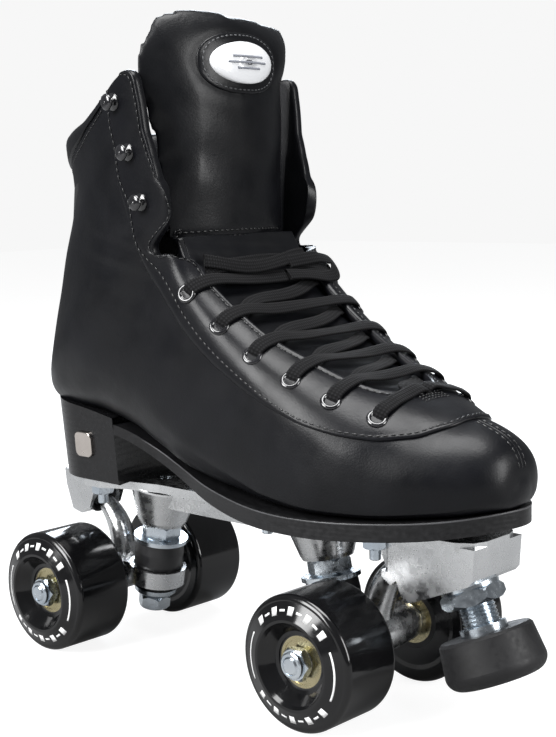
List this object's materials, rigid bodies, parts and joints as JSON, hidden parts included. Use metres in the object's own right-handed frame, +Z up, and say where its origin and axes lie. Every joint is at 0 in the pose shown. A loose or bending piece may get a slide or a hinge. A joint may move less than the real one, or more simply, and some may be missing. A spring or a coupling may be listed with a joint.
{
  "type": "quad roller skate",
  "caption": "High laced boot on a cast plate with two steering trucks, bearing wheels and an adjustable toe stop.",
  "frame": {"origin": "on the ground, midway between the two axles, in the middle plane of the plate", "axes": "+X to the toe, +Y to the wearer's left, +Z up"},
  "size_m": [0.281, 0.123, 0.303],
  "materials": {
    "leather": "smooth black leather, satin",
    "lining": "black padded lining",
    "board": "fibre board",
    "sole": "satin black sole edge",
    "heel": "black heel cover",
    "badge_patch": "stitched patch",
    "nickel": "polished nickel",
    "eyelet": "black enamel",
    "lace": "woven black lace",
    "cast_aluminium": "polished casting",
    "zinc": "blue-white zinc plating",
    "steel": "ground steel",
    "cushion": "black polyurethane",
    "pivot_plastic": "black nylon",
    "wheel": "glossy black polyurethane",
    "hub": "black nylon core",
    "bearing": "gold-tinted shields",
    "stop": "matte black rubber"
  },
  "bodies": {
    "chassis": {"side_panel_right": "leather", "side_panel_left": "leather", "facing_right": "leather", "facing_left": "leather", "tongue": "leather", "collar_padding": "lining", "heel_counter": "board", "insole_board": "board", "insole": "lining", "outsole": "sole", "heel_block": "heel", "heel_badge": "nickel", "eyelets": "eyelet", "hooks": "eyelet", "lace": "lace", "plate": "cast_aluminium", "mounting_bolts": "zinc", "mounting_nuts": "zinc", "toe_stop_washer": "zinc", "toe_stop_nut": "zinc", "front_kingpin": "zinc", "front_kingpin_nut": "zinc", "front_cushion_retainers": "zinc", "front_cushion_upper": "cushion", "front_cushion_lower": "cushion", "front_pivot_cup": "pivot_plastic", "rear_kingpin": "zinc", "rear_kingpin_nut": "zinc", "rear_cushion_retainers": "zinc", "rear_cushion_upper": "cushion", "rear_cushion_lower": "cushion", "rear_pivot_cup": "pivot_plastic"},
    "toe_stop": {"toe_stop_stem": "zinc", "toe_stop_rubber": "stop"},
    "tongue_upper": {"tongue_top": "leather", "tongue_badge": "badge_patch"},
    "front_truck": {"front_hanger": "cast_aluminium", "front_axle": "zinc", "front_axle_nuts": "zinc", "front_axle_spacers": "steel", "front_bearing_inner_rings": "steel"},
    "wheel_front_right": {"wheel_front_right_tyre": "wheel", "wheel_front_right_hub": "hub", "wheel_front_right_bearings": "bearing"},
    "wheel_front_left": {"wheel_front_left_tyre": "wheel", "wheel_front_left_hub": "hub", "wheel_front_left_bearings": "bearing"},
    "rear_truck": {"rear_hanger": "cast_aluminium", "rear_axle": "zinc", "rear_axle_nuts": "zinc", "rear_axle_spacers": "steel", "rear_bearing_inner_rings": "steel"},
    "wheel_rear_right": {"wheel_rear_right_tyre": "wheel", "wheel_rear_right_hub": "hub", "wheel_rear_right_bearings": "bearing"},
    "wheel_rear_left": {"wheel_rear_left_tyre": "wheel", "wheel_rear_left_hub": "hub", "wheel_rear_left_bearings": "bearing"}
  },
  "joints": [
    {"name": "front_steer", "type": "hinge", "parent": "chassis", "child": "front_truck", "pos_m": [0.0595, 0, 0.0315], "axis": [0.7899, 0, 0.6133], "range_deg": [-8, 8], "stiffness_Nm_per_rad": 40, "deforming": ["front_cushion_upper", "front_cushion_lower"]},
    {"name": "front_right_wheel_spin", "type": "hinge", "parent": "front_truck", "child": "wheel_front_right", "pos_m": [0.0825, -0.03925, 0.029], "axis": [0, 1, 0], "continuous": true},
    {"name": "front_left_wheel_spin", "type": "hinge", "parent": "front_truck", "child": "wheel_front_left", "pos_m": [0.0825, 0.03925, 0.029], "axis": [0, 1, 0], "continuous": true},
    {"name": "rear_steer", "type": "hinge", "parent": "chassis", "child": "rear_truck", "pos_m": [-0.0595, 0, 0.0315], "axis": [-0.7899, 0, 0.6133], "range_deg": [-8, 8], "stiffness_Nm_per_rad": 40, "deforming": ["rear_cushion_upper", "rear_cushion_lower"]},
    {"name": "rear_right_wheel_spin", "type": "hinge", "parent": "rear_truck", "child": "wheel_rear_right", "pos_m": [-0.0825, -0.03925, 0.029], "axis": [0, 1, 0], "continuous": true},
    {"name": "rear_left_wheel_spin", "type": "hinge", "parent": "rear_truck", "child": "wheel_rear_left", "pos_m": [-0.0825, 0.03925, 0.029], "axis": [0, 1, 0], "continuous": true},
    {"name": "toe_stop_adjust", "type": "slide", "parent": "chassis", "child": "toe_stop", "axis": [0.3827, 0, -0.9239], "range_m": [-0.005, 0.008]},
    {"name": "tongue_flex", "type": "hinge", "parent": "chassis", "child": "tongue_upper", "pos_m": [0.006, 0, 0.1994], "axis": [0, 1, 0], "range_deg": [-2, 25], "stiffness_Nm_per_rad": 0.6}
  ]
}
